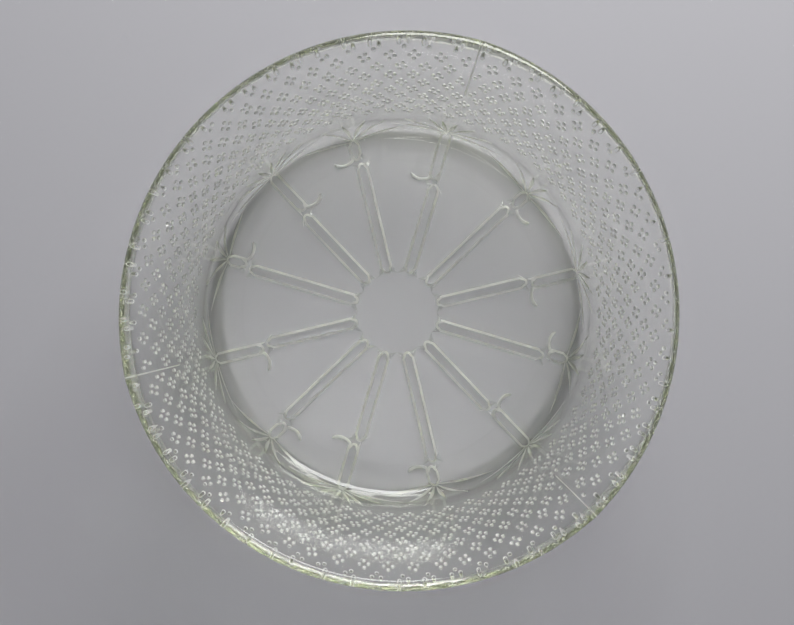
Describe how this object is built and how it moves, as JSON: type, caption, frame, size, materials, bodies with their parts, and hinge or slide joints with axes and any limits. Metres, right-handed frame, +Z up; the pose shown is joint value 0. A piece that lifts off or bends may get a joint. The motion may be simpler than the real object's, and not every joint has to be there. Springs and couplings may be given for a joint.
{
  "type": "glass bowl",
  "caption": "Clear pressed-glass bowl with a flat base, a steep wall that flares to a rounded rim in three soft corners, and sprig stems sunk in the underside.",
  "frame": {"origin": "centre of the base, on the surface that the bowl stands on", "axes": "+Z up along the bowl's axis, out of its mouth; +X and +Y level, with a mould seam 73.5 degrees from +X towards +Y"},
  "size_m": [0.1919, 0.1919, 0.07],
  "materials": {
    "glass": "clear soda-lime glass, pressed, fire-polished rim"
  },
  "bodies": {
    "root": {"bowl": "glass"}
  },
  "joints": []
}
